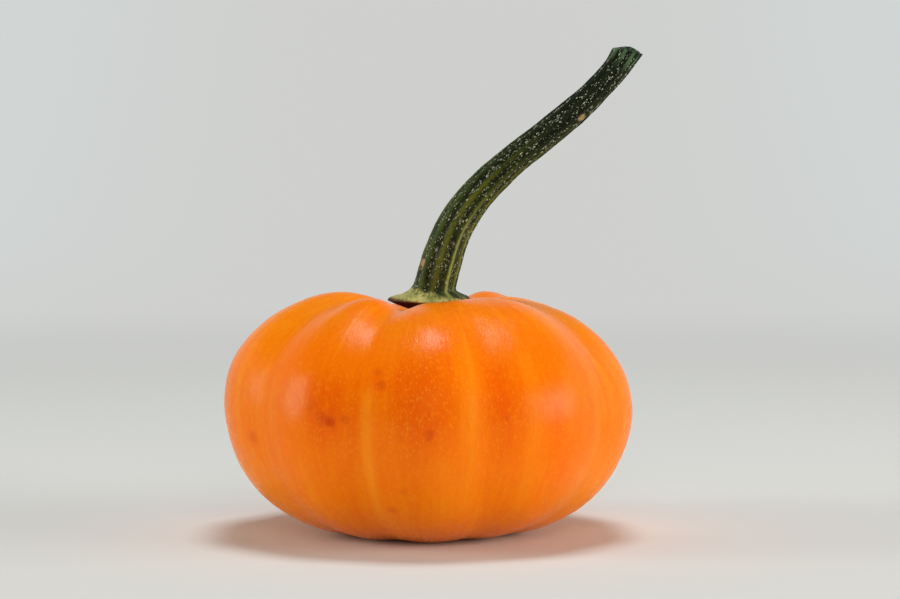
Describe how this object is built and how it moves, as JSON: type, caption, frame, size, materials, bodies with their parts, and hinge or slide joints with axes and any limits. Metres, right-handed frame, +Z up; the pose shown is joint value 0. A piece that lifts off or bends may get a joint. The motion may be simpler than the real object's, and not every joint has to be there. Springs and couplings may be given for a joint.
{
  "type": "ornamental pumpkin",
  "caption": "Small round ribbed orange pumpkin with a long, curved, ridged dark green stalk on a corky collar, standing on its flattened underside.",
  "frame": {"origin": "on the floor, under the middle of the object's outline seen from above", "axes": "+Z up from the floor to the cut end of the stalk; the stalk curves over towards +X; the front shown in the picture faces -Y"},
  "size_m": [0.0914, 0.0906, 0.1066],
  "materials": {
    "skin": "smooth waxy rind, half gloss",
    "stalk": "dull, ridged and specked; pale and corky at the collar"
  },
  "bodies": {
    "root": {"fruit": "skin", "stem": "stalk"}
  },
  "joints": []
}
